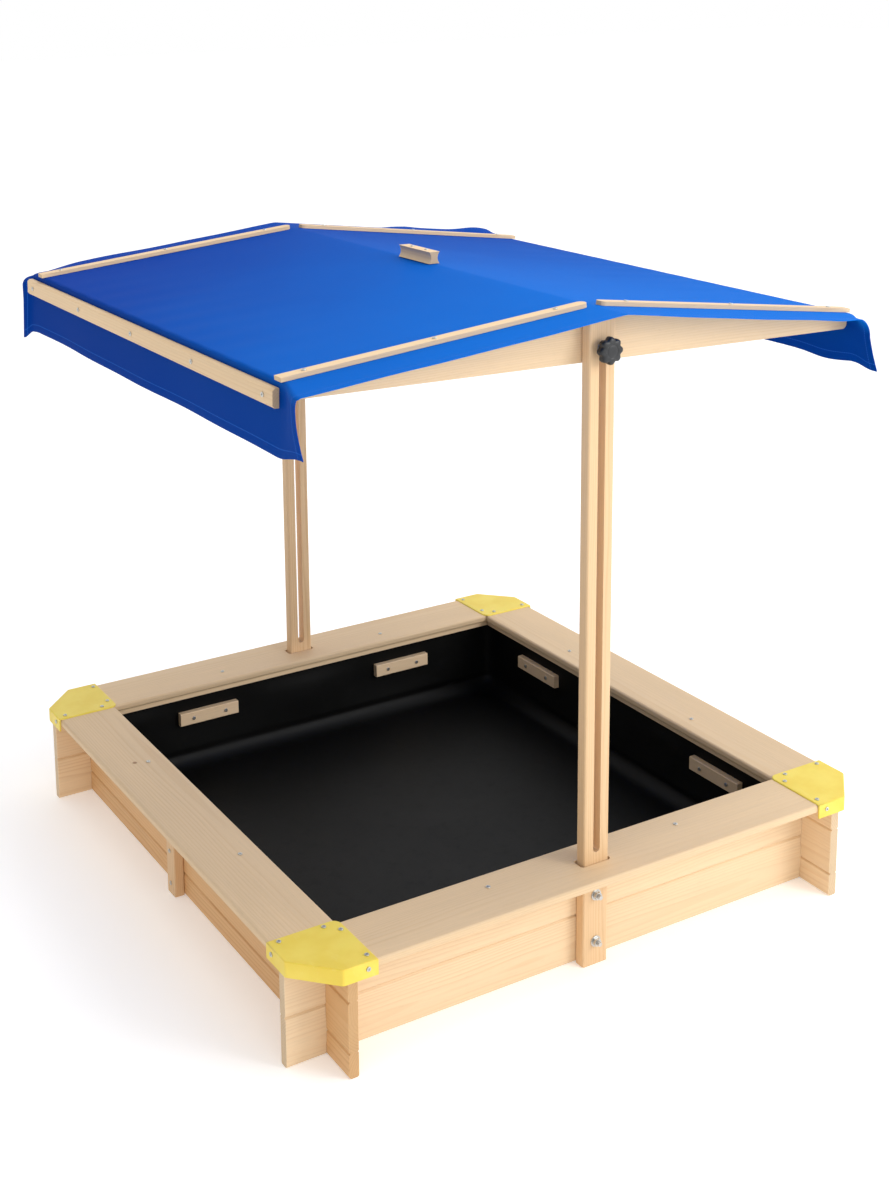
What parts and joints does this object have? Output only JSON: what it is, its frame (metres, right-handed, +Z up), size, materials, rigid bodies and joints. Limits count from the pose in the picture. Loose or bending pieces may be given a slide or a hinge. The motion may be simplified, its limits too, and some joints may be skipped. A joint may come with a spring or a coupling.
{
  "type": "sandbox with a height-adjustable fabric canopy",
  "caption": "Square wooden sandbox with bench seats, plastic corner caps, a sheet liner and a blue gabled canopy that slides down two slotted posts.",
  "frame": {"origin": "on the ground, at the middle of the box", "axes": "+X to the right along the front wall, +Y to the back wall and along the canopy's ridge, +Z up"},
  "size_m": [1.185, 1.189, 1.1724],
  "materials": {
    "wall_wood": "satin",
    "seat_wood": "satin",
    "canopy_wood": "satin",
    "cap_plastic": "satin",
    "knob_plastic": "satin",
    "liner_sheet": "matte",
    "canopy_fabric": "satin",
    "zinc": "satin"
  },
  "bodies": {
    "box": {"front_plank_low": "wall_wood", "front_plank_high": "wall_wood", "back_plank_low": "wall_wood", "back_plank_high": "wall_wood", "left_plank_low": "wall_wood", "left_plank_mid": "wall_wood", "left_plank_high": "wall_wood", "right_plank_low": "wall_wood", "right_plank_mid": "wall_wood", "right_plank_high": "wall_wood", "seat_front": "seat_wood", "seat_back": "seat_wood", "seat_left": "seat_wood", "seat_right": "seat_wood", "seat_strips": "seat_wood", "cap_front_left": "cap_plastic", "cap_front_right": "cap_plastic", "cap_back_left": "cap_plastic", "cap_back_right": "cap_plastic", "liner_floor": "liner_sheet", "liner_front": "liner_sheet", "liner_back": "liner_sheet", "liner_left": "liner_sheet", "liner_right": "liner_sheet", "cleats": "seat_wood", "post_front": "wall_wood", "post_back": "wall_wood", "brace_left": "wall_wood", "brace_right": "wall_wood", "wood_screws": "zinc", "cap_screws": "zinc", "post_bolts": "zinc", "post_washers": "zinc", "post_nuts": "zinc"},
    "clamps": {"clamp_bolts": "zinc", "clamp_washers": "zinc"},
    "canopy": {"beam_front": "canopy_wood", "beam_back": "canopy_wood", "ridge_rail": "canopy_wood", "eave_rail_left": "canopy_wood", "eave_rail_right": "canopy_wood", "sheet_left": "canopy_fabric", "sheet_right": "canopy_fabric", "overhangs": "canopy_fabric", "flap_front": "canopy_fabric", "flap_back": "canopy_fabric", "valance_left": "canopy_fabric", "valance_right": "canopy_fabric", "batten_front_left": "canopy_wood", "batten_front_right": "canopy_wood", "batten_back_left": "canopy_wood", "batten_back_right": "canopy_wood", "eave_batten_left": "canopy_wood", "eave_batten_right": "canopy_wood", "grip_block": "canopy_wood", "canopy_screws": "zinc"},
    "front_knob": {"knob_front": "knob_plastic"},
    "back_knob": {"knob_back": "knob_plastic"}
  },
  "joints": [
    {"name": "canopy_height", "type": "slide", "parent": "box", "child": "clamps", "axis": [0, 0, 1], "range_m": [-0.799, 0], "deforming": ["valance_left", "valance_right", "flap_front", "flap_back"]},
    {"name": "canopy_tilt", "type": "hinge", "parent": "clamps", "child": "canopy", "pos_m": [0, 0, 1.0825], "axis": [0, 1, 0], "range_deg": [-6.5, 3.5]},
    {"name": "front_knob_turn", "type": "hinge", "parent": "clamps", "child": "front_knob", "pos_m": [0, -0.55, 1.0825], "axis": [0, 1, 0], "continuous": true},
    {"name": "back_knob_turn", "type": "hinge", "parent": "clamps", "child": "back_knob", "pos_m": [0, 0.55, 1.0825], "axis": [0, 1, 0], "continuous": true}
  ]
}
